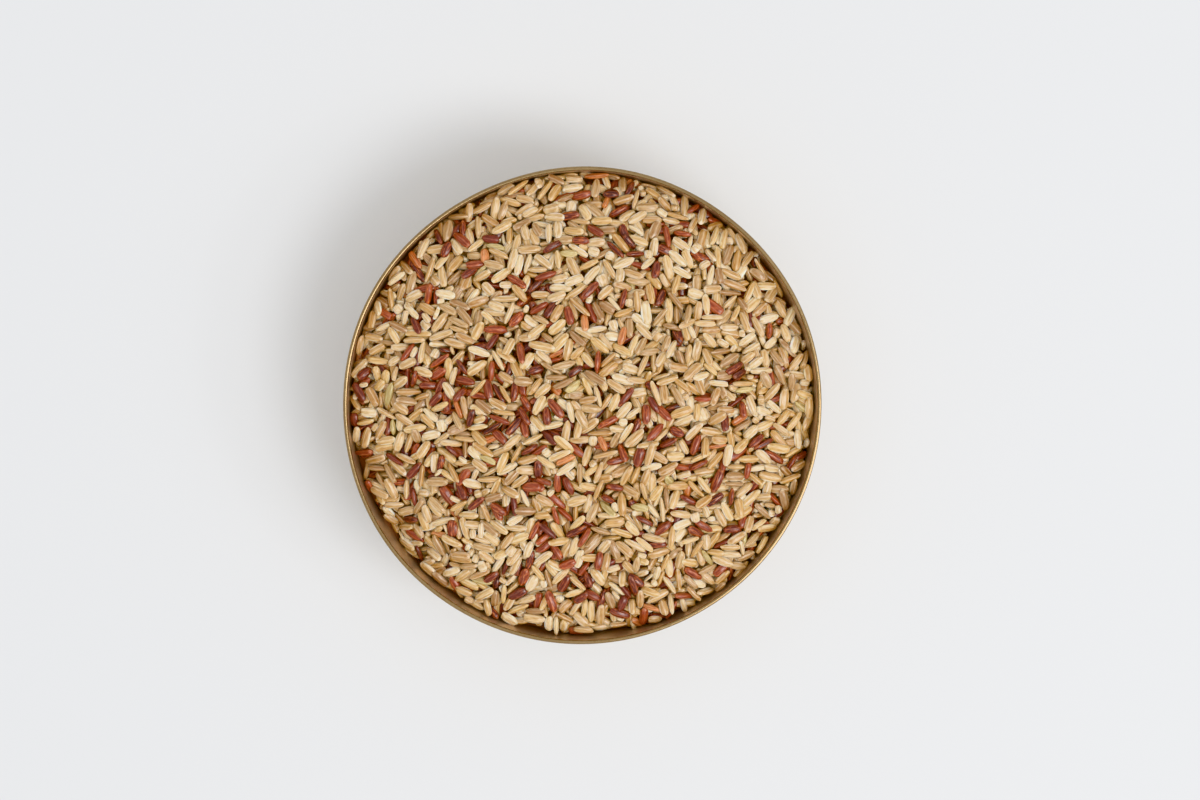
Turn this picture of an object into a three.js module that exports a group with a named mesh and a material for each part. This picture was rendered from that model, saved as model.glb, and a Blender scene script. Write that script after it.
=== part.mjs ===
// A plain brass bowl with a gentle heap of semi-polished rice in it.
//
// Millimetres, +Z up. The origin is the centre of the bowl's flat base, on the surface it stands on.
// The group holds two solids: the bowl, a thin shell turned about Z, and the rice, one solid out to
// its uneven outline, which follows the inside of the bowl with a small gap.

import * as THREE from "three";

const { degToRad, lerp, smoothstep } = THREE.MathUtils;

// ---- Driving dimensions ----------------------------------------------------------------------------

const LIP_RADIUS = 70; // outer radius of the lip
const BOWL_HEIGHT = 50; // standing surface to the top of the lip
const BASE_RADIUS = 34; // flat part that the bowl stands on
const WALL = 1; // thickness of the brass
const LIP_WIDTH = 1.2; // the lip is a little thicker than the wall
const LIP_DEPTH = 3; // how far below its top the lip tapers into the wall
const LIP_ROUNDING = 0.5; // radius of the lip's two edges
const WALL_FLARE = degToRad(3.5); // lean of the wall just under the lip
const SHOULDER_REACH = 27; // how far the flat base leads the round shoulder outwards
const WALL_REACH = 30; // how far the upright wall leads the shoulder down

// A bowl finished by hand isn't quite round: each wave of its outline has a height and a direction.
const OUT_OF_ROUND = [
  { waves: 2, height: 0.07, towards: degToRad(38) },
  { waves: 4, height: 0.06, towards: degToRad(74) },
  { waves: 5, height: 0.1, towards: degToRad(11) },
  { waves: 6, height: 0.09, towards: degToRad(28) },
];

const RICE_GAP = 0.3; // between the rice and the brass
const RICE_EDGE_DROP = 6; // top of the lip down to the rice along the wall
const RICE_RISE = 12; // rice along the wall up to the middle of the heap
const HEAP_POWER = 2.2; // 2 is a parabola, more is a flatter middle with steeper sides

// The heap dips towards the wall in one place and is a little higher there in another.
const DIPS = [
  { towards: degToRad(-142), halfWidth: degToRad(11), depth: 4.5 },
  { towards: degToRad(-65), halfWidth: degToRad(35), depth: -1.4 },
];
const DIP_START = 0.75; // share of the radius where a dip begins

const MOUND_SIZE = 24; // spacing of the broad, low mounds that pouring leaves
const MOUND_HEIGHT = 0.7;
const LUMP_SIZE = 6; // spacing of the lumps that clusters of grains make
const LUMP_HEIGHT = 0.9;

// ---- Fineness --------------------------------------------------------------------------------------

const BOWL_SECTORS = 96;
const WALL_STEPS = 9; // along the curved wall, outside and inside
const LIP_EDGE_STEPS = 3; // along each of the lip's rounded edges
const HEAP_RINGS = 22; // from the middle of the heap to its edge
const RING_CORNERS = 6; // each ring of the heap has this many vertices more than the one inside it
const RICE_WALL_STEPS = 6; // down the side of the rice

// ---- The bowl --------------------------------------------------------------------------------------

// The outside of the wall, from the edge of the base to the underside of the lip's rounding.
const wallTop = new THREE.Vector2(LIP_RADIUS, BOWL_HEIGHT - LIP_ROUNDING);
const wallCurve = new THREE.CubicBezierCurve(
  new THREE.Vector2(BASE_RADIUS, 0),
  new THREE.Vector2(BASE_RADIUS + SHOULDER_REACH, 0),
  new THREE.Vector2(
    wallTop.x - WALL_REACH * Math.sin(WALL_FLARE),
    wallTop.y - WALL_REACH * Math.cos(WALL_FLARE),
  ),
  wallTop,
);

// The brass's thickness at height z: the wall, growing to the lip's width just under the top.
function thicknessAt(z) {
  const intoLip = smoothstep(z, BOWL_HEIGHT - LIP_DEPTH, BOWL_HEIGHT);
  return lerp(WALL, LIP_WIDTH, intoLip);
}

// The point inside the bowl across from wallCurve's point at t, clear of the brass by a gap.
function insidePoint(t, gap = 0) {
  const outside = wallCurve.getPoint(t);
  const along = wallCurve.getTangent(t);
  const inwards = new THREE.Vector2(-along.y, along.x);
  return outside.addScaledVector(inwards, thicknessAt(outside.y) + gap);
}

// Evenly spaced shares from 0 to 1, both included.
function shares(steps) {
  return Array.from({ length: steps + 1 }, (_, i) => i / steps);
}

// One rounded edge of the lip: a quarter turn, without its first point.
function lipEdge(centreRadius, startAngle) {
  const centre = new THREE.Vector2(centreRadius, BOWL_HEIGHT - LIP_ROUNDING);
  return shares(LIP_EDGE_STEPS).slice(1).map((share) => {
    const angle = startAngle + share * (Math.PI / 2);
    const spoke = new THREE.Vector2(Math.cos(angle), Math.sin(angle));
    return centre.clone().addScaledVector(spoke, LIP_ROUNDING);
  });
}

function bowlProfile() {
  const lipInside = insidePoint(1).x;
  return [
    new THREE.Vector2(0, 0),
    ...wallCurve.getPoints(WALL_STEPS),
    ...lipEdge(LIP_RADIUS - LIP_ROUNDING, 0),
    new THREE.Vector2(lipInside + LIP_ROUNDING, BOWL_HEIGHT),
    ...lipEdge(lipInside + LIP_ROUNDING, Math.PI / 2),
    ...shares(WALL_STEPS).reverse().slice(1).map((t) => insidePoint(t)),
    new THREE.Vector2(0, WALL),
  ];
}

// Pushes every vertex in or out by the bowl's lack of roundness, which fades out at the base.
function pushOutOfRound(geometry) {
  const position = geometry.getAttribute("position");
  for (let i = 0; i < position.count; i += 1) {
    const [x, y, z] = [position.getX(i), position.getY(i), position.getZ(i)];
    const angle = Math.atan2(y, x);
    const waves = OUT_OF_ROUND.map((w) => w.height * Math.cos(w.waves * (angle - w.towards)));
    const push = waves.reduce((sum, wave) => sum + wave, 0);
    const scale = 1 + (push * z) / (BOWL_HEIGHT * LIP_RADIUS);
    position.setXY(i, x * scale, y * scale);
  }
  geometry.computeVertexNormals();
  return geometry;
}

function bowlGeometry() {
  const turned = new THREE.LatheGeometry(bowlProfile(), BOWL_SECTORS).rotateX(Math.PI / 2);
  return pushOutOfRound(turned);
}

// ---- The heap of rice ------------------------------------------------------------------------------

const nominalEdge = BOWL_HEIGHT - RICE_EDGE_DROP;
const heapRadius = insidePoint(parameterAtHeight(nominalEdge), RICE_GAP).x;

// Where on wallCurve, from 0 to 1, the inside of the bowl passes height z.
function parameterAtHeight(z) {
  let [low, high] = [0, 1];
  for (let halving = 0; halving < 30; halving += 1) {
    const middle = (low + high) / 2;
    if (insidePoint(middle, RICE_GAP).y < z) low = middle;
    else high = middle;
  }
  return low;
}

// A repeatable value from -1 to 1 for each corner of a square lattice.
function latticeValue(column, row, seed) {
  const mixed = Math.sin(column * 127.1 + row * 311.7 + seed * 74.7) * 43758.5453;
  return 2 * (mixed - Math.floor(mixed)) - 1;
}

// Smooth bumps from -1 to 1, one for each lattice cell of the given size.
function bumps(x, y, size, seed) {
  const [column, row] = [Math.floor(x / size), Math.floor(y / size)];
  const across = smoothstep(x / size - column, 0, 1);
  const along = smoothstep(y / size - row, 0, 1);
  const [near, far] = [row, row + 1].map((line) =>
    lerp(latticeValue(column, line, seed), latticeValue(column + 1, line, seed), across),
  );
  return lerp(near, far, along);
}

function dipAt(share, angle) {
  const depths = DIPS.map(({ towards, halfWidth, depth }) => {
    const aside = Math.atan2(Math.sin(angle - towards), Math.cos(angle - towards));
    return depth * Math.exp(-((aside / halfWidth) ** 2));
  });
  return smoothstep(share, DIP_START, 1) * depths.reduce((sum, depth) => sum + depth, 0);
}

// Height of the heap's surface, share being 0 in its middle and 1 at the wall.
function surfaceHeight(share, angle) {
  const [x, y] = [share * heapRadius * Math.cos(angle), share * heapRadius * Math.sin(angle)];
  const dome = nominalEdge + RICE_RISE * (1 - share ** HEAP_POWER);
  const mounds = MOUND_HEIGHT * bumps(x, y, MOUND_SIZE, 1);
  const lumps = LUMP_HEIGHT * bumps(x, y, LUMP_SIZE, 2);
  return dome + mounds + lumps - dipAt(share, angle);
}

// The rice's outline at one angle: a point for each row, from the middle of the top, out to the wall,
// down along it and back to the middle of the underside.
function riceOutline(angle) {
  const edgeParameter = parameterAtHeight(surfaceHeight(1, angle));
  const edgeRadius = insidePoint(edgeParameter, RICE_GAP).x;
  const top = shares(HEAP_RINGS).map(
    (share) => new THREE.Vector2(share * edgeRadius, surfaceHeight(share, angle)),
  );
  const side = shares(RICE_WALL_STEPS).reverse().slice(1).map((share) =>
    insidePoint(share * edgeParameter, RICE_GAP),
  );
  return [...top, ...side, new THREE.Vector2(0, WALL + RICE_GAP)];
}

// How many vertices each row of the rice has: one in the middle, then a few more on every ring of
// the top, so that its triangles are all about alike.
function rowCounts() {
  const top = Array.from({ length: HEAP_RINGS + 1 }, (_, ring) => Math.max(1, ring * RING_CORNERS));
  const side = Array(RICE_WALL_STEPS).fill(HEAP_RINGS * RING_CORNERS);
  return [...top, ...side, 1];
}

// Triangles between two neighbouring rows, which start at the same angle and run the same way.
function stitch(inner, outer) {
  const triangles = [];
  let [i, o] = [0, 0];
  const innerEnd = inner.count > 1 ? inner.count : 0;
  const outerEnd = outer.count > 1 ? outer.count : 0;
  while (i < innerEnd || o < outerEnd) {
    const outerFirst = (o + 1) / outer.count <= (i + 1) / inner.count;
    const stepOut = o < outerEnd && (i >= innerEnd || outerFirst);
    const corners = [inner.start + (i % inner.count), outer.start + (o % outer.count)];
    if (stepOut) o += 1;
    else i += 1;
    const next = stepOut ? outer.start + (o % outer.count) : inner.start + (i % inner.count);
    triangles.push(...corners, next);
  }
  return triangles;
}

function riceGeometry() {
  const vertices = [];
  const rows = rowCounts().map((count, row) => {
    const start = vertices.length / 3;
    for (let i = 0; i < count; i += 1) {
      const angle = (i / count) * 2 * Math.PI;
      const point = riceOutline(angle)[row];
      vertices.push(point.x * Math.cos(angle), point.x * Math.sin(angle), point.y);
    }
    return { start, count };
  });
  const geometry = new THREE.BufferGeometry();
  geometry.setAttribute("position", new THREE.Float32BufferAttribute(vertices, 3));
  geometry.setIndex(rows.slice(1).flatMap((row, i) => stitch(rows[i], row)));
  return pushOutOfRound(geometry);
}

// ---- The object ------------------------------------------------------------------------------------

const brass = new THREE.MeshStandardMaterial({ color: 0xb89a5e, metalness: 1, roughness: 0.4 });
const rice = new THREE.MeshStandardMaterial({ color: 0xcaa372, metalness: 0, roughness: 0.55 });

const bowlOfRice = new THREE.Group();

const bowl = new THREE.Mesh(bowlGeometry(), brass);
bowl.name = "bowl";
bowlOfRice.add(bowl);

const heap = new THREE.Mesh(riceGeometry(), rice);
heap.name = "rice_heap";
bowlOfRice.add(heap);

export default bowlOfRice;
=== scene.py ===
"""A plain brass bowl with a low heap of semi-polished rice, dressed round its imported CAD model.

The rice is laid grain by grain: each one comes to rest on those already there, tipped as they hold
it. Lengths are in millimetres until a mesh is made, which is in metres.
"""

import math
from collections import namedtuple
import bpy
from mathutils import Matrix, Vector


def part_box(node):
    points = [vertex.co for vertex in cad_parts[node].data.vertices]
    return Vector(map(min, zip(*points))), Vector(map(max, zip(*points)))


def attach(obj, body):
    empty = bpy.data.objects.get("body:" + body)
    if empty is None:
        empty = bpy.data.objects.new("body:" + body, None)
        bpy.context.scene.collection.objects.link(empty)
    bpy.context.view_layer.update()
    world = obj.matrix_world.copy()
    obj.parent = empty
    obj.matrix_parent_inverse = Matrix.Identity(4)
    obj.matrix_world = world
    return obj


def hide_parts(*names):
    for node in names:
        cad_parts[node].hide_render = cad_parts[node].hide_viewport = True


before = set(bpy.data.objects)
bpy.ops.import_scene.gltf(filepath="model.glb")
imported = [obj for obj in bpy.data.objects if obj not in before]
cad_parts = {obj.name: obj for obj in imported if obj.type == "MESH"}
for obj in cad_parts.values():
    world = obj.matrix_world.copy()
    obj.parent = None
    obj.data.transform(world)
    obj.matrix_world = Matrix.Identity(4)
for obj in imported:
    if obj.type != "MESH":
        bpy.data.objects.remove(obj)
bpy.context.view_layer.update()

from types import SimpleNamespace

import bpy
import numpy as np
from mathutils import Matrix, Vector
from mathutils.bvhtree import BVHTree

MM = 0.001  # metres in a millimetre
TURN = 2 * math.pi

# ---- Sizes, in millimetres -------------------------------------------------------------------------

LIP_RADIUS = 70.0  # outer radius of the lip
BOWL_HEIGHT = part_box("bowl")[1].z / MM
BASE_RADIUS = 34.0  # flat part that the bowl stands on
WALL = 1.0  # thickness of the brass
LIP_WIDTH = 1.2  # the lip is a little thicker than the wall
LIP_DEPTH = 3.0  # how far below its top the lip tapers into the wall
LIP_ROUNDING = 0.5  # radius of the lip's two edges
LIP_LOOK = (0.9, 0.3)  # how far under its top the lip's own look starts, and is there in full
WALL_FLARE = math.radians(3.5)  # lean of the wall just under the lip
SHOULDER_REACH = 27.0  # how far the flat base leads the round shoulder outwards
WALL_REACH = 30.0  # how far the upright wall leads the shoulder down
OUT_OF_ROUND = ((2, 0.07, 38), (4, 0.06, 74), (5, 0.1, 11), (6, 0.09, 28))  # waves, height, degrees

CORE_DEPTH = 5.0  # how far the core lies under the top of the heap
CORE_GAP = 0.4  # between the core and the brass
CORE_BUMPS = (-0.5, 0.3)  # unevenness of the core's top
EDGE_CELLS = 12  # where the core's edge reads the heap's height, in cells from the field's border

# Fineness of the turned pieces.
BOWL_SECTORS = 256
WALL_ROWS = 60
LIP_EDGE_ROWS = 6
FLAT_RING = 0.6  # share of the base's radius where its flat has a ring of vertices
CORE_SECTORS = 128
CORE_WALL_ROWS = 24
CORE_TOP_ROWS = 38


# ---- Small helpers ---------------------------------------------------------------------------------


def smoothstep(x, low, high):
    """0 below low, 1 above high and a smooth rise between them."""
    share = np.clip((x - low) / (high - low), 0, 1)
    return share * share * (3 - 2 * share)


def linear(red, green, blue):
    """A colour given as 0 to 255 on the screen, as the linear value a shader takes."""
    screen = np.array((red, green, blue)) / 255
    return (*np.where(screen <= 0.04045, screen / 12.92, ((screen + 0.055) / 1.055) ** 2.4), 1.0)


def pushed_out_of_round(points):
    """Millimetre points, moved with the bowl's slight lack of roundness, which fades at its base."""
    angle = np.arctan2(points[:, 1], points[:, 0])
    push = sum(h * np.cos(n * (angle - math.radians(to))) for n, h, to in OUT_OF_ROUND)
    moved = points.copy()
    moved[:, :2] *= (1 + push * points[:, 2] / (BOWL_HEIGHT * LIP_RADIUS))[:, None]
    return moved


def mesh_object(name, points, faces):
    """An object from millimetre points and a list of face arrays, each (faces, corners)."""
    mesh = bpy.data.meshes.new(name)
    corners = np.concatenate([f.ravel() for f in faces])
    sizes = np.concatenate([np.full(len(f), f.shape[1]) for f in faces])
    mesh.vertices.add(len(points))
    mesh.vertices.foreach_set("co", (points * MM).astype(np.float32).ravel())
    mesh.loops.add(len(corners))
    mesh.loops.foreach_set("vertex_index", corners.astype(np.int32))
    mesh.polygons.add(len(sizes))
    starts = np.concatenate(([0], np.cumsum(sizes)[:-1]))
    mesh.polygons.foreach_set("loop_start", starts.astype(np.int32))
    mesh.polygons.foreach_set("use_smooth", np.full(len(sizes), True))
    mesh.update(calc_edges=True)
    mesh.validate()
    piece = bpy.data.objects.new(name, mesh)
    bpy.context.scene.collection.objects.link(piece)
    return piece


def add_vectors(piece, name, values):
    """Stores three numbers with each vertex, for a material to read."""
    attribute = piece.data.attributes.new(name, "FLOAT_VECTOR", "POINT")
    attribute.data.foreach_set("vector", values.astype(np.float32).ravel())


def grid_faces(rows, columns):
    """Quads between rows of vertices that close on themselves."""
    row, column = np.meshgrid(np.arange(rows - 1), np.arange(columns), indexing="ij")
    here = row * columns + column
    beside = row * columns + (column + 1) % columns
    return np.stack((here, beside, beside + columns, here + columns), -1).reshape(-1, 4)


# ---- The bowl's section ----------------------------------------------------------------------------


def wall_point(t):
    """Radius and height of the outside of the wall, and the unit normal that points into the bowl."""
    top = BOWL_HEIGHT - LIP_ROUNDING
    ends = np.array(
        (
            (BASE_RADIUS, 0),
            (BASE_RADIUS + SHOULDER_REACH, 0),
            (LIP_RADIUS - WALL_REACH * math.sin(WALL_FLARE), top - WALL_REACH * math.cos(WALL_FLARE)),
            (LIP_RADIUS, top),
        )
    )
    t = np.asarray(t, float)[:, None]
    point = ((1 - t) ** 3) * ends[0] + 3 * t * ((1 - t) ** 2) * ends[1]
    point = point + 3 * t * t * (1 - t) * ends[2] + t**3 * ends[3]
    along = (1 - t) ** 2 * (ends[1] - ends[0]) + 2 * t * (1 - t) * (ends[2] - ends[1])
    along = along + t * t * (ends[3] - ends[2])
    along /= np.linalg.norm(along, axis=1)[:, None]
    return point, np.stack((-along[:, 1], along[:, 0]), -1)


def inside_points(t, gap=0.0):
    """The inside of the wall across from wall_point's points, or clear of the brass by a gap."""
    point, inwards = wall_point(t)
    into_lip = smoothstep(point[:, 1], BOWL_HEIGHT - LIP_DEPTH, BOWL_HEIGHT)
    thickness = WALL + (LIP_WIDTH - WALL) * into_lip
    return point + inwards * (thickness + gap)[:, None]


# ---- The heap's surface, from the CAD solid --------------------------------------------------------

CELL = 0.25  # of the height fields
HALF = 70.0  # how far they reach from the middle
CELLS = int(2 * HALF / CELL)
cell_centres = (np.arange(CELLS) + 0.5) * CELL - HALF
GRID_X, GRID_Y = np.meshgrid(cell_centres, cell_centres)
GRID_R = np.hypot(GRID_X, GRID_Y)
COARSE_SPACING = 2.0  # of the places where the CAD solid's height is taken


def cells_at(x, y):
    """Rows and columns of the cells that hold some points."""
    return ((y + HALF) / CELL).astype(int), ((x + HALF) / CELL).astype(int)


def solid_heights(node):
    """The top of a CAD node as a coarse height field, found by looking straight down on it."""
    tree = BVHTree.FromObject(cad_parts[node], bpy.context.evaluated_depsgraph_get())
    places = np.arange(-HALF, HALF + COARSE_SPACING, COARSE_SPACING)
    coarse = np.full((len(places), len(places)), np.nan)
    for j, y in enumerate(places):
        for i, x in enumerate(places):
            hit = tree.ray_cast(Vector((x * MM, y * MM, 1)), Vector((0, 0, -1)))[0]
            coarse[j, i] = hit.z / MM if hit else np.nan
    return places, coarse


def spread_outwards(field):
    """Fills the empty cells round a field with the mean of their filled neighbours."""
    rows, columns = field.shape
    while np.isnan(field).any():
        padded = np.pad(field, 1, constant_values=np.nan)
        around = np.stack([padded[j : j + rows, i : i + columns] for j in range(3) for i in range(3)])
        filled = ~np.isnan(around)
        count = filled.sum(0)
        mean = np.where(filled, around, 0).sum(0) / np.maximum(count, 1)
        field = np.where(np.isnan(field) & (count > 0), mean, field)
    return field


def resampled(places, coarse):
    """A coarse square field at the cell centres of the fine one."""
    position = (cell_centres - places[0]) / (places[1] - places[0])
    low = np.floor(position).astype(int)
    share = position - low
    rows = coarse[low] * (1 - share)[:, None] + coarse[low + 1] * share[:, None]
    return rows[:, low] * (1 - share) + rows[:, low + 1] * share


coarse_places, coarse_top = solid_heights("rice_heap")
heap_top = resampled(coarse_places, spread_outwards(coarse_top))
wall_t = np.linspace(0, 1, 400)
wall_inside = inside_points(wall_t)
wall_height = np.interp(GRID_R, wall_inside[:, 0], wall_inside[:, 1], right=BOWL_HEIGHT)

# ---- Grains ----------------------------------------------------------------------------------------

# Each kind: its share of all grains, length, width and thickness in the middle, how much they vary,
# and how blunt the ends are.
Kind = namedtuple("Kind", "share length width thickness spread bluntness")
KINDS = {
    "straw_grains": Kind(0.27, 6.7, 2.6, 1.85, 0.10, 3.1),
    "cream_grains": Kind(0.17, 6.6, 2.55, 1.8, 0.11, 3.1),
    "golden_grains": Kind(0.14, 6.7, 2.5, 1.8, 0.10, 3.0),
    "tan_grains": Kind(0.14, 6.5, 2.5, 1.75, 0.12, 2.9),
    "red_grains": Kind(0.139, 6.5, 2.6, 1.85, 0.11, 3.0),
    "maroon_grains": Kind(0.077, 6.4, 2.5, 1.8, 0.11, 3.0),
    "orange_grains": Kind(0.012, 6.2, 2.4, 1.75, 0.11, 2.9),
    "green_grains": Kind(0.010, 6.2, 2.3, 1.7, 0.11, 2.3),
    "broken_grains": Kind(0.055, 3.5, 2.4, 1.75, 0.28, 4.5),
}
RED_KINDS = ("red_grains", "maroon_grains", "orange_grains")

MOST_SPREADS = 2.2  # no size is further than this many spreads from its kind's
THICKNESS_SPREAD = 0.6  # how much thickness varies, as a share of how much the others do
ON_EDGE = 0.24  # share of the grains that lie on their narrow side
VARIANTS = 24

HEAP_SEED = 20
FORM_SEED = 100  # of the first variant
CORE_SEED = 3

# Points on the underside of a grain: shares of its half length, and of its half width there.
SPAN = np.linspace(-0.96, 0.96, 17)
ACROSS = np.linspace(-0.92, 0.92, 7)
LAST_SPAN = 0.999  # share of a grain's half length that still has a width

STEEPEST_PITCH = 1.0  # slope of a grain along its length
STEEPEST_ROLL = 0.7  # and across it
ROLL_COST = 0.3  # height that a grain would give up to lie level across
MOST_LEVELLING = 0.7  # the same along it, for the grain that minds most
SINK = 0.5  # how far a grain presses into those under it

# A grain is tried at places round a spot, then at some round the best of them: how far they lie from
# it, how far the grain is turned, and how many the second search tries.
WIDE_SHIFT, WIDE_TURN = 2.2, math.pi
NEAR_SHIFT, NEAR_TURN, NEAR_TRIES = 0.6, 0.25, 24

# Spots where a grain may fall: every so many cells, as far as a radius.
SPOT_STEP, SPOT_START = 8, 3
SPOT_RADIUS = 67
MOST_GRAINS = 9000
LEAST_CELLS = 6  # a grain that shows in no more cells than these is buried, and left out
BED_BUMPS = 0.6  # unevenness of the bed that the first grains fall on

PATCH = 10.0  # how wide the patches are that have more or fewer red grains
PATCH_STRENGTH = 0.75
RED_TO_THE_LEFT = 0.004  # growth of the red grains' share for each millimetre
RED_TO_THE_MIDDLE = 0.008
MIDDLE_RADIUS = 35

# The heap is laid in two stages: first its hollows are filled, then the last grains fall anywhere.
# Each stage: spots tried for the deepest one, numbers of places tried there, how far the middle of a
# grain may lie above the heap's surface, and how many grains in turn may fail before it ends.
Stage = namedtuple("Stage", "spots_tried places_tried highest patience")
STAGES = (Stage(60, (5, 14, 40), -1.0, 400), Stage(1, (2, 4, 8), 0.5, 240))


def grain_form(variant):
    """How one variant departs from a plain spindle, in shares of its half sizes."""
    draw = np.random.default_rng(FORM_SEED + variant)
    return SimpleNamespace(
        closing=draw.uniform(0.44, 0.66),  # how sharply its sides close towards the ends
        squareness=draw.uniform(1.75, 2.3),
        taper=draw.uniform(-0.05, 0.14),
        cut_slant=draw.uniform(0.1, 0.5),
        cut_start=draw.uniform(0.62, 1.0),
        blunt=draw.uniform(0.9, 1.0),
        bend=draw.uniform(-0.16, 0.16),
    )


FORMS = [grain_form(variant) for variant in range(VARIANTS)]


def fullness(share, bluntness, closing):
    """Half width of a grain at a share of its half length, as a share of its greatest."""
    return (1 - np.abs(share) ** bluntness) ** closing


def resting(bed, grain, x, y, yaw, foreshortened):
    """Height, pitch and roll slopes of one grain at rest on a height field, tried at several places.

    A grain rests on two points, one on each side of its middle, that hold it highest: first along
    its length, then across it.
    """
    full = fullness(SPAN, grain.bluntness, FORMS[grain.variant].closing)
    along = (grain.length / 2 * foreshortened * SPAN)[:, None] * np.ones_like(ACROSS)
    across = grain.width / 2 * full[:, None] * ACROSS
    belly = grain.thickness / 2 * full[:, None] * np.sqrt(1 - ACROSS**2)
    cos, sin = np.cos(yaw)[:, None, None], np.sin(yaw)[:, None, None]
    row, column = cells_at(
        x[:, None, None] + along * cos - across * sin, y[:, None, None] + along * sin + across * cos
    )
    support = bed[np.clip(row, 0, CELLS - 1), np.clip(column, 0, CELLS - 1)] + belly

    def held(profile, places):
        """Slope between the two points, one on each side, that hold the middle highest."""
        left, right = places < -1e-6, places > 1e-6
        a, b = places[left][:, None], places[right][None, :]
        low, high = profile[:, left][:, :, None], profile[:, right][:, None, :]
        middle = (low * b - high * a) / (b - a)
        slope = (high - low) / (b - a)
        best = middle.reshape(len(profile), -1).argmax(1)
        return slope.reshape(len(profile), -1)[np.arange(len(profile)), best]

    pitch = np.clip(held(support.max(2), along[:, 0]), -STEEPEST_PITCH, STEEPEST_PITCH)
    level = support - pitch[:, None, None] * along
    roll = held(level.max(1), grain.width / 2 * ACROSS)
    roll = np.clip(roll, -STEEPEST_ROLL, STEEPEST_ROLL)
    height = (level - roll[:, None, None] * across).reshape(len(x), -1).max(1)
    return height, pitch, roll


def lay(bed, owner, number, grain):
    """Adds a grain's top to the height field, and its number where it now shows."""
    half = grain.length / 2 * math.cos(math.atan(grain.pitch))
    reach = int(half / CELL) + 2
    column, row = int((grain.x + HALF) / CELL), int((grain.y + HALF) / CELL)
    window = tuple(slice(max(middle - reach, 0), middle + reach + 1) for middle in (row, column))
    dx, dy = GRID_X[window] - grain.x, GRID_Y[window] - grain.y
    cos, sin = math.cos(grain.yaw), math.sin(grain.yaw)
    along, across = dx * cos + dy * sin, dy * cos - dx * sin
    span = along / half
    closing = FORMS[grain.variant].closing
    full = fullness(np.clip(span, -LAST_SPAN, LAST_SPAN), grain.bluntness, closing)
    spread = across / (grain.width / 2 * full)
    inside = (np.abs(span) < LAST_SPAN) & (np.abs(spread) < 1)
    bulge = grain.thickness / 2 * full * np.sqrt(np.clip(1 - spread**2, 0, 1))
    top = grain.z + grain.pitch * along + grain.roll * across + bulge
    shows = inside & (top > bed[window])
    bed[window][shows] = top[shows]
    owner[window][shows] = number


def settled(draw, bed, grain, x0, y0, tries):
    """Puts a grain where it comes to rest near a spot, and tells how far above the heap's surface."""
    levelling = draw.uniform(0, MOST_LEVELLING)
    best = None
    for count, shift, turn in ((tries, WIDE_SHIFT, WIDE_TURN), (NEAR_TRIES, NEAR_SHIFT, NEAR_TURN)):
        x = x0 + draw.uniform(-shift, shift, count)
        y = y0 + draw.uniform(-shift, shift, count)
        yaw = (best.yaw if best else 0.0) + draw.uniform(-turn, turn, count)
        foreshortened = math.cos(math.atan(best.pitch)) if best else 1.0
        height, pitch, roll = resting(bed, grain, x, y, yaw, foreshortened)
        above = height - heap_top[cells_at(x, y)]
        score = above + levelling * np.abs(pitch) + ROLL_COST * np.abs(roll)
        pick = int(score.argmin())
        if best is None or score[pick] < best.score:
            best = SimpleNamespace(
                score=score[pick],
                x=x[pick],
                y=y[pick],
                yaw=yaw[pick],
                height=height[pick],
                pitch=pitch[pick],
                roll=roll[pick],
                above=above[pick],
            )
        x0, y0 = best.x, best.y
    grain.x, grain.y, grain.z = best.x, best.y, best.height - SINK
    grain.yaw, grain.pitch, grain.roll = best.yaw, best.pitch, best.roll
    return best.above


def new_grain(draw, redness):
    """A grain of a kind drawn by its share, with sizes of its own and no place yet."""
    names, shares = list(KINDS), np.array([kind.share for kind in KINDS.values()])
    shares = shares * [redness if name in RED_KINDS else 1 for name in names]
    name = names[draw.choice(len(names), p=shares / shares.sum())]
    kind = KINDS[name]
    furthest = MOST_SPREADS * kind.spread
    sizes = np.clip(draw.normal(1, kind.spread, 3), 1 - furthest, 1 + furthest)
    sides = [kind.width * sizes[1], kind.thickness * (1 + (sizes[2] - 1) * THICKNESS_SPREAD)]
    if draw.random() < ON_EDGE:
        sides.reverse()
    return SimpleNamespace(
        kind=name,
        length=kind.length * sizes[0],
        width=sides[0],
        thickness=sides[1],
        bluntness=kind.bluntness,
        variant=int(draw.integers(VARIANTS)),
    )


def laid_grains():
    """The grains that show, each resting on those before it, until the heap has its height."""
    draw = np.random.default_rng(HEAP_SEED)
    bumps = resampled(coarse_places, draw.uniform(-BED_BUMPS, BED_BUMPS, coarse_top.shape))
    bed = np.maximum(heap_top - CORE_DEPTH + bumps, wall_height)
    owner = np.full(bed.shape, -1)
    spots = np.argwhere(GRID_R[::SPOT_STEP, ::SPOT_STEP] < SPOT_RADIUS) * SPOT_STEP + SPOT_START
    patch_places = np.arange(-HALF, HALF + 2 * PATCH, PATCH)
    patches = resampled(patch_places, draw.normal(0, PATCH_STRENGTH, (len(patch_places),) * 2))
    inwards = RED_TO_THE_MIDDLE * (GRID_R - MIDDLE_RADIUS)
    redness = np.exp(patches - RED_TO_THE_LEFT * GRID_X - inwards)
    grains = []
    for stage in STAGES:
        misses = 0
        while misses < stage.patience and len(grains) < MOST_GRAINS:
            tries = spots[draw.integers(len(spots), size=stage.spots_tried)]
            rows, columns = tries[:, 0], tries[:, 1]
            hollow = np.argmax(heap_top[rows, columns] - bed[rows, columns])
            row, column = tries[hollow]
            grain = new_grain(draw, redness[row, column])
            spot = cell_centres[column], cell_centres[row]
            if settled(draw, bed, grain, *spot, draw.choice(stage.places_tried)) > stage.highest:
                misses += 1
                continue
            misses = 0
            lay(bed, owner, len(grains), grain)
            grains.append(grain)
    seen = np.bincount(owner[owner >= 0], minlength=len(grains))
    return [grain for grain, cells in zip(grains, seen) if cells > LEAST_CELLS]


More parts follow.
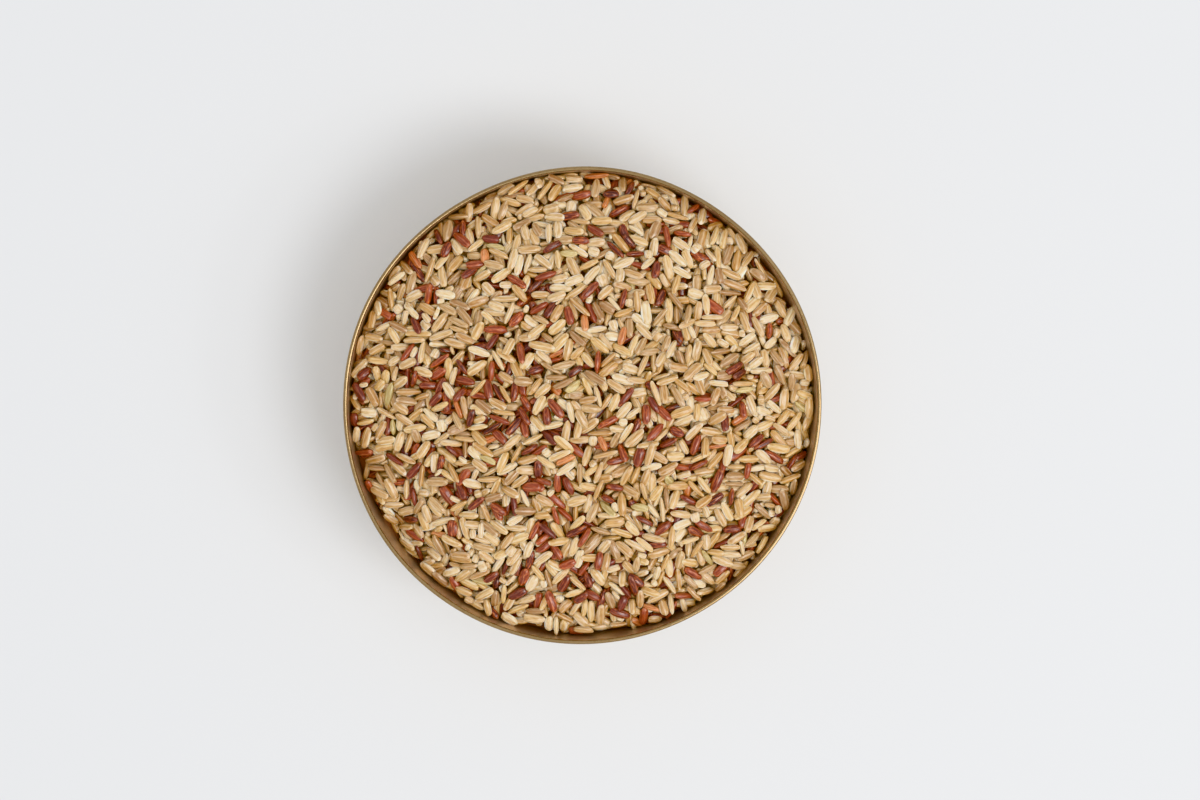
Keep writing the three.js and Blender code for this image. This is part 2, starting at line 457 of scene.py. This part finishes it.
# A grain's mesh: rings of vertices along it, closed by a point at each end.
RING_SPANS = np.array((-0.985, -0.9, -0.72, -0.4, 0, 0.4, 0.72, 0.9, 0.985))
RINGS = len(RING_SPANS)
SIDES = 12


def grain_shape(bluntness, form):
    """Unit vertices of one grain, x from -1 to 1 along it, bent a little, its germ's end cut askew."""
    around = np.arange(SIDES) / SIDES * TURN
    full = fullness(RING_SPANS, bluntness, form.closing)[:, None]
    square = form.squareness
    section = (np.abs(np.cos(around)) ** square + np.abs(np.sin(around)) ** square) ** (-1 / square)
    x = RING_SPANS[:, None] * np.ones(SIDES)
    y = full * np.cos(around) * section
    z = full * np.sin(around) * section
    y, z = y * (1 - form.taper * x), z * (1 - form.taper * x)
    x = np.minimum(x, form.cut_start + form.cut_slant * (1 - y) * 0.5)
    x = np.maximum(x, -form.blunt)
    y = y + form.bend * (1 - x * x)
    head = -min(1, form.blunt + 0.02)
    tail = min(1, form.cut_start + form.cut_slant * 0.5 + 0.01)
    return np.concatenate((np.stack((x, y, z), -1).reshape(-1, 3), ((head, 0, 0), (tail, 0, 0))))


def grain_faces():
    """The quads and end triangles of one grain, with each corner's place on its unrolled skin."""
    body = grid_faces(RINGS, SIDES)
    row, side = np.divmod(np.arange(len(body)), SIDES)
    rows = np.stack((row, row, row + 1, row + 1), -1) + 1
    sides = np.stack((side, side + 1, side + 1, side), -1)
    body_skin = np.stack((rows, sides), -1) / (RINGS + 1, SIDES)
    ring = np.arange(SIDES)
    beside = (ring + 1) % SIDES
    start, end = RINGS * SIDES, RINGS * SIDES + 1
    last = (RINGS - 1) * SIDES
    head = np.stack((ring, np.full(SIDES, start), beside), -1)
    tail = np.stack((last + beside, np.full(SIDES, end), last + ring), -1)
    low, middle, high = ring / SIDES, (ring + 0.5) / SIDES, (ring + 1) / SIDES
    near, far = np.full(SIDES, 1 / (RINGS + 1)), np.full(SIDES, RINGS / (RINGS + 1))
    front, back = np.zeros(SIDES), np.ones(SIDES)
    head_skin = np.stack((np.stack((near, front, near), -1), np.stack((low, middle, high), -1)), -1)
    tail_skin = np.stack((np.stack((far, back, far), -1), np.stack((high, middle, low), -1)), -1)
    return (body, np.concatenate((head, tail))), (body_skin, np.concatenate((head_skin, tail_skin)))


def grains_piece(kind, grains):
    """One mesh of all the grains of a kind."""
    draw = np.random.default_rng(sum(map(ord, kind)))
    shapes = np.stack([grain_shape(KINDS[kind].bluntness, form) for form in FORMS])
    unit = shapes[[grain.variant for grain in grains]]
    half = np.array([(grain.length, grain.width, grain.thickness) for grain in grains]) / 2
    flip = draw.choice((-1, 1), len(grains))
    local = unit * half[:, None, :] * np.stack((flip, flip, np.ones(len(grains))), -1)[:, None, :]
    turned = np.stack([
        np.array(
            Matrix.Rotation(grain.yaw, 3, "Z")
            @ Matrix.Rotation(-math.atan(grain.pitch), 3, "Y")
            @ Matrix.Rotation(math.atan(grain.roll), 3, "X")
        )
        for grain in grains
    ])
    centres = np.array([(grain.x, grain.y, grain.z) for grain in grains])
    points = np.einsum("gij,gvj->gvi", turned, local) + centres[:, None, :]
    count = unit.shape[1]
    offsets = (np.arange(len(grains)) * count)[:, None, None]
    corners, skins = grain_faces()
    faces = [(f[None] + offsets).reshape(-1, f.shape[1]) for f in corners]
    piece = mesh_object(kind, pushed_out_of_round(points.reshape(-1, 3)), faces)

    # Each grain's skin has a square of its own in the texture map, with a margin round it.
    side = math.ceil(math.sqrt(len(grains)))
    square = np.stack(np.divmod(np.arange(len(grains)), side), -1)[:, None, None, :]
    margin = 0.04
    inner = 1 - 2 * margin
    places = [((square + margin + inner * skin[None]) / side).reshape(-1, 2) for skin in skins]
    layer = piece.data.uv_layers.new(name="OFBake")
    layer.data.foreach_set("uv", np.concatenate(places).astype(np.float32).ravel())

    # For the material: each vertex's place on its grain, and the grain's own three chances.
    add_vectors(piece, "seat", unit.reshape(-1, 3))
    add_vectors(piece, "lot", np.repeat(draw.random((len(grains), 3)), count, 0))
    return piece


# ---- Materials -------------------------------------------------------------------------------------


class Look:
    """A new material, with short ways to add nodes to it."""

    def __init__(self, name):
        self.material = bpy.data.materials.new(name)
        self.material.use_nodes = True
        self.nodes = self.material.node_tree.nodes
        self.links = self.material.node_tree.links
        self.shader = self.nodes["Principled BSDF"]

    def feed(self, socket, value):
        """Sets a socket to a number or colour, or links another node's output to it."""
        if isinstance(value, bpy.types.NodeSocket):
            self.links.new(value, socket)
        else:
            socket.default_value = value

    def surface(self, values):
        """Sets or links the shader's own sockets."""
        for name, value in values.items():
            self.feed(self.shader.inputs[name], value)

    def maths(self, operation, *values, clamp=False):
        node = self.nodes.new("ShaderNodeMath")
        node.operation, node.use_clamp = operation, clamp
        for socket, value in zip(node.inputs, values):
            self.feed(socket, value)
        return node.outputs[0]

    def vector_maths(self, operation, *values):
        node = self.nodes.new("ShaderNodeVectorMath")
        node.operation = operation
        for socket, value in zip(node.inputs, values):
            self.feed(socket, value)
        return node.outputs["Value" if operation == "LENGTH" else "Vector"]

    def growing(self, value, start, slope):
        """0 up to a start, then growing with a slope, up to 1."""
        return self.maths("MULTIPLY", self.maths("SUBTRACT", value, start), slope, clamp=True)

    def parts(self, vector):
        split = self.nodes.new("ShaderNodeSeparateXYZ")
        self.links.new(vector, split.inputs[0])
        return split.outputs

    def vector(self, **parts):
        joined = self.nodes.new("ShaderNodeCombineXYZ")
        for name, value in parts.items():
            self.links.new(value, joined.inputs[name])
        return joined.outputs[0]

    def stored(self, name):
        """What add_vectors stored with the vertices."""
        node = self.nodes.new("ShaderNodeAttribute")
        node.attribute_name = name
        return node.outputs["Vector"]

    def noise(self, place, scale, detail):
        node = self.nodes.new("ShaderNodeTexNoise")
        node.inputs["Scale"].default_value = scale
        node.inputs["Detail"].default_value = detail
        self.links.new(place, node.inputs["Vector"])
        return node.outputs["Fac"]

    def ramp(self, driver, *stops):
        """A colour between two stops, each a position and a colour."""
        node = self.nodes.new("ShaderNodeValToRGB")
        for element, (position, colour) in zip(node.color_ramp.elements, stops):
            element.position, element.color = position, colour
        self.links.new(driver, node.inputs["Fac"])
        return node.outputs["Color"]

    def mix(self, blend, factor, first, second):
        node = self.nodes.new("ShaderNodeMix")
        node.data_type, node.blend_type = "RGBA", blend
        for name, value in (("Factor", factor), ("A", first), ("B", second)):
            self.feed(node.inputs[name], value)
        return node.outputs["Result"]

    def shaded(self, colour, driver, *stops):
        """A colour multiplied by a ramp."""
        return self.mix("MULTIPLY", 1.0, colour, self.ramp(driver, *stops))

    def bump(self, height, strength, distance):
        """Bumps on the whole surface, with their strength and their height in millimetres."""
        node = self.nodes.new("ShaderNodeBump")
        node.inputs["Strength"].default_value = strength
        node.inputs["Distance"].default_value = distance * MM
        self.links.new(height, node.inputs["Height"])
        self.links.new(node.outputs["Normal"], self.shader.inputs["Normal"])


# Each kind's darkest and lightest colour, and the pale colour of its scraped ends, which also
# paints light on its sides and highlights on its ridges.
PALETTES = {
    "straw_grains": ((189, 149, 94), (222, 197, 150), (255, 248, 229)),
    "cream_grains": ((203, 172, 123), (231, 215, 181), (255, 252, 243)),
    "golden_grains": ((194, 153, 92), (217, 188, 134), (253, 242, 213)),
    "tan_grains": ((168, 129, 85), (200, 171, 126), (246, 231, 203)),
    "red_grains": ((102, 35, 20), (152, 73, 44), (222, 152, 112)),
    "maroon_grains": ((78, 24, 15), (120, 52, 36), (186, 122, 96)),
    "orange_grains": ((176, 104, 58), (204, 142, 92), (238, 200, 156)),
    "green_grains": ((182, 165, 113), (211, 195, 147), (242, 231, 184)),
    "broken_grains": ((202, 171, 123), (232, 217, 186), (255, 252, 243)),
}


# Pale and red grains: what their clouds are lightened by and their fine streaks darkened by, how
# sharply and how far at least their sides are painted pale as painted light, their gloss, and how deep
# light goes in.
Finish = namedtuple("Finish", "light fine side_slope side_least coat depth")
PALE = Finish((1.05, 1.06, 1.08, 1), (0.9, 0.83, 0.72, 1), 4, 0.3, 0.6, 0.85)
RED = Finish((1.3, 1.35, 1.45, 1), (0.72, 0.64, 0.6, 1), 2.2, 0.05, 0.35, 0.5)
RED_PATCH = linear(206, 118, 62)  # where the red bran is thin
WHITE = (1, 1, 1, 1)
APART = (400, 400, 400)  # how far apart the grains' noises lie


def rice_material(kind):
    """Rice with part of its bran left: cloudy and streaked along the grain, its ends scraped pale, its
    sides lit by painted light and its ridges pale from wear and painted highlight.
    """
    look = Look(kind)
    finish = RED if kind in RED_KINDS else PALE
    low, high, pale_wear_and_painted_light = (linear(*colour) for colour in PALETTES[kind])
    seat, lot = look.stored("seat"), look.stored("lot")
    along, across, _ = look.parts(seat)
    tone, paleness, phase = look.parts(lot)

    def grain_noise(stretch, scale):
        """A noise that is drawn out along the grain and lies differently on each."""
        stretched = look.vector_maths("MULTIPLY", seat, stretch)
        return look.noise(look.vector_maths("MULTIPLY_ADD", lot, APART, stretched), scale, 3)

    clouds = grain_noise((1.0, 2.0, 1.7), 1.7)
    streaks = grain_noise((0.5, 2.3, 2.0), 1.6)
    # Ridges run along a grain, in other places on each.
    wander = look.maths("MULTIPLY_ADD", clouds, 3.0, look.maths("MULTIPLY", phase, TURN))
    ridge = look.maths("SINE", look.maths("MULTIPLY_ADD", across, 6.5, wander))
    groove = look.maths("MULTIPLY_ADD", ridge, 0.5, 0.5)

    colour = look.ramp(tone, (0.0, low), (1.0, high))
    colour = look.shaded(colour, clouds, (0.34, (0.85, 0.755, 0.62, 1)), (0.6, finish.light))
    colour = look.shaded(colour, streaks, (0.4, finish.fine), (0.56, (1.07, 1.08, 1.1, 1)))
    colour = look.shaded(colour, groove, (0.0, (0.97, 0.935, 0.87, 1)), (0.45, WHITE))
    if finish is RED:
        patch = look.maths("MULTIPLY", look.growing(clouds, 0.52, 7), phase)
        colour = look.mix("MIX", patch, colour, RED_PATCH)

    # The ends are scraped pale. The sides are painted pale, as painted light where shade falls between
    # the grains, and the ridges are pale partly from worn bran and partly as painted highlight.
    # Painted light: the sides are lightened where shade falls between the grains.
    side = look.growing(look.maths("ABSOLUTE", across), 0.68, finish.side_slope)
    painted_side_light = look.maths("MULTIPLY_ADD", tone, 0.55, finish.side_least)
    # Painted highlight along the ridges, together with their real paler worn bran.
    ridge_wear_and_highlight = look.growing(ridge, 0.5, 0.5)
    near_end = look.growing(look.maths("ABSOLUTE", along), 0.7, 4.5)
    worn = look.maths("MULTIPLY_ADD", streaks, 1.6, -0.3, clamp=True)
    at_end = look.maths("MULTIPLY", look.maths("MULTIPLY", near_end, paleness), worn)
    for share in (look.maths("MULTIPLY", side, painted_side_light), ridge_wear_and_highlight, at_end):
        colour = look.mix("MIX", share, colour, pale_wear_and_painted_light)

    look.surface({
        "Base Color": colour,
        "Roughness": 0.2,
        "Specular IOR Level": 0.5,
        "Coat Weight": finish.coat,
        "Coat Roughness": 0.08,
        "Subsurface Weight": finish.depth,
        "Subsurface Radius": (1.0, 0.85, 0.65),
        "Subsurface Scale": 0.8 * MM,
    })
    height = look.maths("MULTIPLY_ADD", ridge, 0.25, clouds)
    look.bump(look.maths("MULTIPLY_ADD", streaks, 0.6, height), 0.6, 0.15)
    return look.material


def plain_material(name, colour, roughness):
    look = Look(name)
    look.surface({"Base Color": colour, "Roughness": roughness})
    return look.material


def brass_material():
    """Plain turned brass, dulled in patches, with the fine lines of the lathe round it.

    Its lip is smoother, and darker as painted shade for the dim room that it mirrors. Its inside
    is greyer and less metallic, as painted light that lightens the wall where the rice shades it.
    """
    look = Look("brass")
    place = look.nodes.new("ShaderNodeTexCoord").outputs["Object"]
    x, y, z = look.parts(place)
    radius = look.vector_maths("LENGTH", look.vector(X=x, Y=y))
    lip_range = look.nodes.new("ShaderNodeMapRange")
    lip_range.interpolation_type = "SMOOTHSTEP"
    for end, depth in zip(("From Min", "From Max"), LIP_LOOK):
        lip_range.inputs[end].default_value = (BOWL_HEIGHT - depth) * MM
    look.links.new(z, lip_range.inputs["Value"])
    lip = lip_range.outputs["Result"]
    inside_painted_light = look.parts(look.stored("inside"))[0]
    wall_painted_light = look.maths("MULTIPLY", inside_painted_light, look.maths("SUBTRACT", 1.0, lip))

    patches = look.noise(place, 60, 6)
    specks = look.noise(place, 1400, 3)
    lines = look.noise(look.vector(X=radius, Z=z), 2600, 2)
    dull = look.ramp(patches, (0.3, (0.62, 0.46, 0.25, 1)), (0.72, (0.75, 0.565, 0.31, 1)))
    worn = look.ramp(specks, (0.3, (0.8, 0.76, 0.68, 1)), (0.5, WHITE))
    colour = look.mix("MULTIPLY", 0.7, dull, worn)
    # Painted shade: the lip's colour is darkened to stand for the dim room that it mirrors.
    edge = look.mix("MULTIPLY", 1.0, colour, (0.48, 0.455, 0.45, 1))
    # Painted light: the inside is tinted greyer to lighten the wall where the rice shades it.
    colour = look.mix("MULTIPLY", inside_painted_light, colour, (1.04, 1.07, 1.4, 1))
    look.surface({
        "Base Color": look.mix("MIX", lip, colour, edge),
        "Roughness": look.maths("MULTIPLY_ADD", lip, -0.2, 0.4),
        # Painted light: under the lip the inside is less metallic, so the shaded wall reads lighter.
        "Metallic": look.maths("MULTIPLY_ADD", wall_painted_light, -0.3, 1.0),
    })
    look.bump(look.maths("ADD", lines, specks), 0.25, 0.05)
    return look.material


# ---- Bowl and core ---------------------------------------------------------------------------------


def turned_piece(name, profile, sectors):
    """A solid of revolution whose profile starts and ends on the axis."""
    angle = np.arange(sectors) / sectors * TURN
    ring = np.stack((np.cos(angle), np.sin(angle)), -1)
    middle = profile[1:-1]
    points = np.concatenate(
        [np.concatenate((r * ring, np.full((sectors, 1), z)), 1) for r, z in middle]
    )
    ends = np.array(((0, 0, profile[0][1]), (0, 0, profile[-1][1])))
    index = np.arange(sectors)
    beside = (index + 1) % sectors
    last = (len(middle) - 1) * sectors
    first_cap = np.stack((np.full(sectors, len(points)), beside, index), -1)
    last_cap = np.stack((np.full(sectors, len(points) + 1), last + index, last + beside), -1)
    faces = [grid_faces(len(middle), sectors), np.concatenate((first_cap, last_cap))]
    return mesh_object(name, pushed_out_of_round(np.concatenate((points, ends))), faces)


def make_bowl():
    """The brass bowl, its vertices marked as inside or not."""
    outside = wall_point(np.linspace(0, 1, WALL_ROWS))[0]
    inside = inside_points(np.linspace(1, 0, WALL_ROWS))
    quarter = np.linspace(0, math.pi / 2, LIP_EDGE_ROWS + 1)[1:]
    arc = np.stack((np.cos(quarter), np.sin(quarter)), -1) * LIP_ROUNDING
    outer_edge = arc + (LIP_RADIUS - LIP_ROUNDING, BOWL_HEIGHT - LIP_ROUNDING)
    inner_edge = arc[::-1] * (-1, 1) + (inside[0, 0] + LIP_ROUNDING, BOWL_HEIGHT - LIP_ROUNDING)
    under = ((0, 0), (BASE_RADIUS * FLAT_RING, 0))
    bottom = ((BASE_RADIUS * FLAT_RING, WALL), (0, WALL))
    profile = np.concatenate((under, outside, outer_edge, inner_edge, inside, bottom))
    bowl = turned_piece("brass_bowl", profile, BOWL_SECTORS)

    # The vertices are the profile's rows without its two ends on the axis, and then those two.
    rows_outside = len(under) - 1 + len(outside) + len(outer_edge)
    is_inside = np.repeat(np.arange(len(profile) - 2) >= rows_outside, BOWL_SECTORS)
    is_inside = np.concatenate((is_inside, (False, True)))
    add_vectors(bowl, "inside", np.repeat(is_inside, 3))
    bowl.data.materials.append(brass_material())
    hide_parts("bowl")
    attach(bowl, "root")


def make_core():
    """What lies under the grains that show: an uneven solid that fills the bowl, dark as painted shade
    in the gaps between the grains.
    """
    height_at_wall = heap_top[CELLS // 2, -EDGE_CELLS] - CORE_DEPTH
    edge_t = np.interp(height_at_wall, wall_inside[:, 1], wall_t)
    side = inside_points(np.linspace(0, edge_t, CORE_WALL_ROWS), CORE_GAP)
    edge = side[-1]
    share = np.linspace(1, 0, CORE_TOP_ROWS + 2)[1:-1]
    top = np.stack((share * edge[0], np.full(len(share), edge[1])), -1)
    profile = np.concatenate((((0, side[0, 1]),), side, top, ((0, edge[1]),)))
    core = turned_piece("rice_core", profile, CORE_SECTORS)

    # Its top, flat so far, is lifted to follow the heap's surface.
    vertices = core.data.vertices
    points = np.empty(len(vertices) * 3, np.float32)
    vertices.foreach_get("co", points)
    points = points.reshape(-1, 3) / MM
    on_top = points[:, 2] > edge[1] - 0.01
    row, column = cells_at(points[:, 0], points[:, 1])
    surface = heap_top[np.clip(row, 0, CELLS - 1), np.clip(column, 0, CELLS - 1)]
    draw = np.random.default_rng(CORE_SEED)
    lifted = surface - CORE_DEPTH + draw.uniform(*CORE_BUMPS, len(points))
    points[on_top, 2] = lifted[on_top]
    vertices.foreach_set("co", (points * MM).astype(np.float32).ravel())
    core.data.update()
    # Its dark colour is painted shade, for the deep gaps between the grains that show.
    core.data.materials.append(plain_material("rice_shadow", linear(150, 92, 58), 0.8))
    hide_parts("rice_heap")
    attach(core, "root")


def make_rice():
    """The grains that show, one piece for each kind."""
    grains = laid_grains()
    for kind in KINDS:
        piece = grains_piece(kind, [grain for grain in grains if grain.kind == kind])
        piece.data.materials.append(rice_material(kind))
        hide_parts("rice_heap")
        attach(piece, "root")


# ---- Camera, light and floor -----------------------------------------------------------------------


# The camera looks almost straight down, so its place is given from what it looks at.
CAMERA_TILT = math.radians(5.8)  # from straight down
CAMERA_SIDE = math.radians(118)  # the side it leans to, from +X
CAMERA_AIM = (4.86, 2.29)  # what the middle of the picture shows at the lip's height, in millimetres
CAMERA_DISTANCE = 0.6812  # in metres
LENS, SENSOR = 70, 36  # in millimetres

# Round softboxes: direction and height in degrees, watts, and width in metres.
Softbox = namedtuple("Softbox", "azimuth elevation watts width")
SOFTBOXES = {"overhead": Softbox(-33, 66, 5.0, 0.5), "key": Softbox(-20, 44, 1.8, 0.4)}
SOFTBOX_DISTANCE = 1.3  # in metres
WORLD_STRENGTH = 0.96

FLOOR_HALF = 1500.0  # in millimetres
FLOOR_COLOUR = (0.73, 0.74, 0.755, 1)


def direction(azimuth, elevation):
    """The unit vector towards a direction and height, both in radians."""
    flat = math.cos(elevation)
    return Vector((flat * math.cos(azimuth), flat * math.sin(azimuth), math.sin(elevation)))


def make_camera():
    back = direction(CAMERA_SIDE, math.pi / 2 - CAMERA_TILT)
    aim = Vector((*CAMERA_AIM, BOWL_HEIGHT)) * MM
    data = bpy.data.cameras.new("camera")
    data.lens, data.sensor_width = LENS, SENSOR
    camera = bpy.data.objects.new("camera", data)
    bpy.context.scene.collection.objects.link(camera)
    right = Vector((0, 1, 0)).cross(back).normalized()
    up = back.cross(right)
    turn = Matrix((right, up, back)).transposed().to_4x4()
    camera.matrix_world = Matrix.Translation(aim + back * CAMERA_DISTANCE) @ turn
    bpy.context.scene.camera = camera


def make_light():
    world = bpy.data.worlds.new("studio")
    world.use_nodes = True
    background = world.node_tree.nodes["Background"]
    background.inputs["Color"].default_value = WHITE
    background.inputs["Strength"].default_value = WORLD_STRENGTH
    bpy.context.scene.world = world
    for name, box in SOFTBOXES.items():
        data = bpy.data.lights.new(name, "AREA")
        data.shape, data.size, data.energy = "DISK", box.width, box.watts
        light = bpy.data.objects.new(name, data)
        bpy.context.scene.collection.objects.link(light)
        towards = direction(math.radians(box.azimuth), math.radians(box.elevation))
        light.location = towards * SOFTBOX_DISTANCE
        light.rotation_euler = towards.to_track_quat("Z", "Y").to_euler()


def make_floor():
    square = np.array(((-1, -1, 0), (1, -1, 0), (1, 1, 0), (-1, 1, 0)))
    floor = mesh_object("floor", FLOOR_HALF * square, [np.array(((0, 1, 2, 3),))])
    floor.data.materials.append(plain_material("floor", FLOOR_COLOUR, 0.7))


make_camera()
make_light()
make_floor()
make_bowl()
make_core()
make_rice()

bpy.context.scene.view_settings.view_transform = "Khronos PBR Neutral"
bpy.context.view_layer.update()
